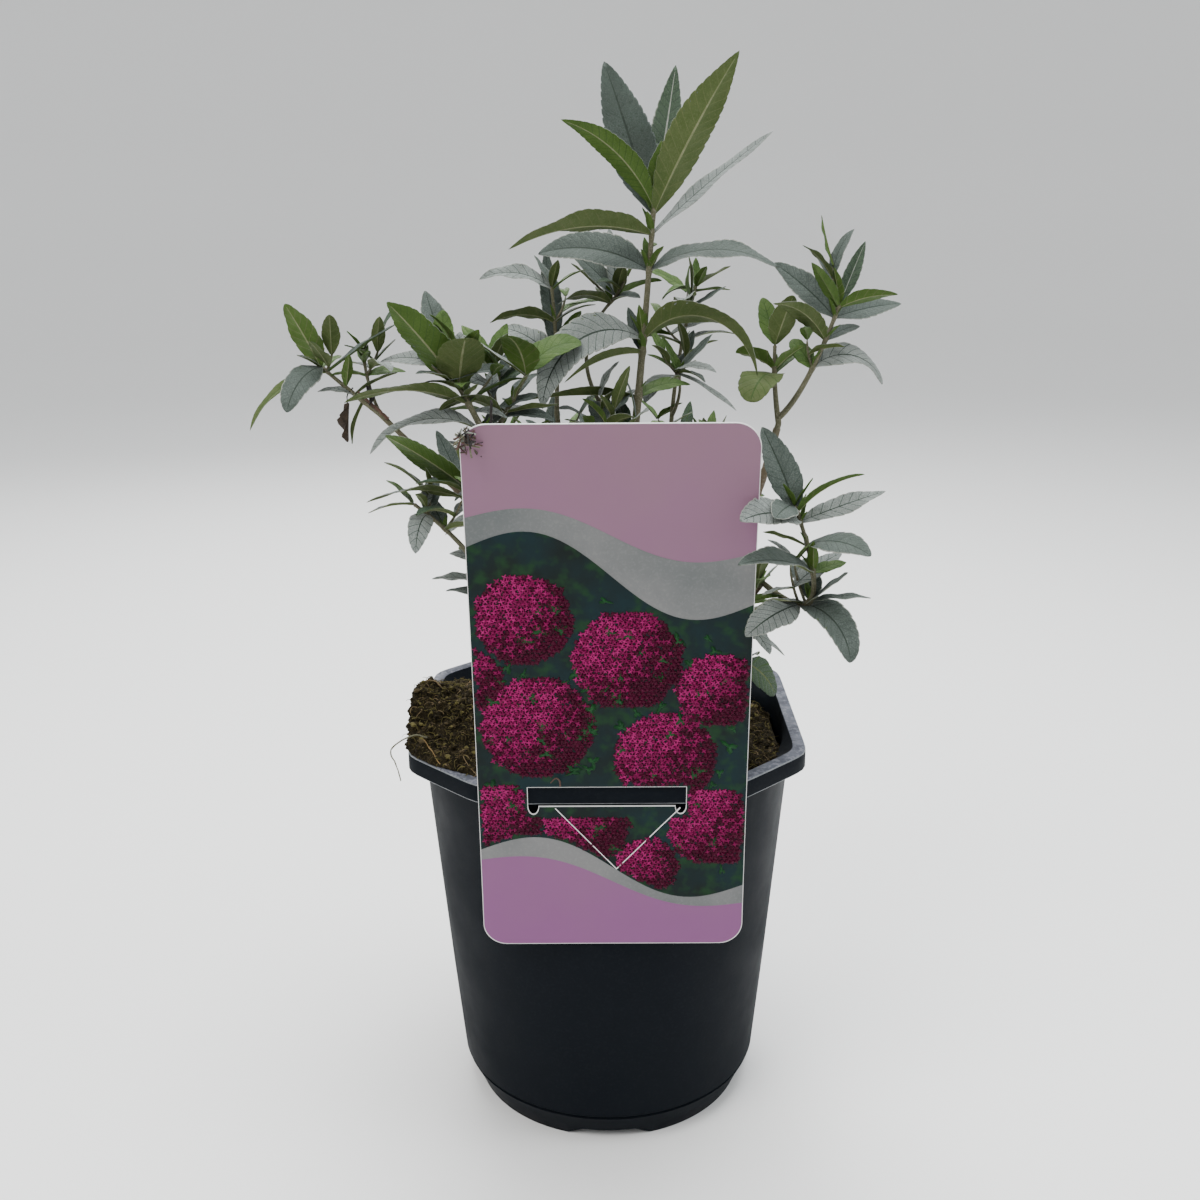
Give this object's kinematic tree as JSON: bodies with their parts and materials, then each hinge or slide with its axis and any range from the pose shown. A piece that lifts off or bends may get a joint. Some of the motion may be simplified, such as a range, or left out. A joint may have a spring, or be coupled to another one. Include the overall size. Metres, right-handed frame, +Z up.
{
  "type": "potted butterfly bush",
  "caption": "Young butterfly bush with narrow grey-green leaves in opposite pairs, in a dark nursery pot with a hang-over picture label.",
  "frame": {"origin": "centre of the pot's flat underside, on the surface it stands on", "axes": "+Z up along the pot's axis; -Y is the side that the label faces; +X is to the viewer's right from the front"},
  "size_m": [0.2702, 0.233, 0.4618],
  "materials": {
    "pot": "near-black blue moulded plastic, lightly scuffed",
    "compost": "fibrous brown compost with straw-coloured roots",
    "label": "mauve printed plastic card, slightly glossy",
    "bark": "brown young bark, grey-green and woolly toward the tips",
    "leaf": "grey-green leaves with a woolly bloom, paler under"
  },
  "bodies": {
    "root": {"pot": "pot", "compost": "compost", "label": "label", "trunk": "bark", "leader_bough": "bark", "left_bough": "bark", "far_left_bough": "bark", "lower_left_bough": "bark", "low_left_bough": "bark", "centre_bough": "bark", "back_centre_bough": "bark", "middle_bough": "bark", "right_bough": "bark", "right_back_bough": "bark", "lower_right_bough": "bark", "low_right_bough": "bark", "back_bough": "bark", "back_left_bough": "bark", "back_right_bough": "bark", "inner_left_bough": "bark", "inner_right_bough": "bark", "leader_foliage": "leaf", "centre_foliage": "leaf", "back_centre_foliage": "leaf", "middle_foliage": "leaf", "left_foliage": "leaf", "far_left_foliage": "leaf", "lower_left_foliage": "leaf", "low_left_foliage": "leaf", "right_foliage": "leaf", "right_back_foliage": "leaf", "lower_right_foliage": "leaf", "low_right_foliage": "leaf", "back_left_foliage": "leaf", "back_right_foliage": "leaf", "back_foliage": "leaf", "inner_left_foliage": "leaf", "inner_right_foliage": "leaf"}
  },
  "joints": []
}
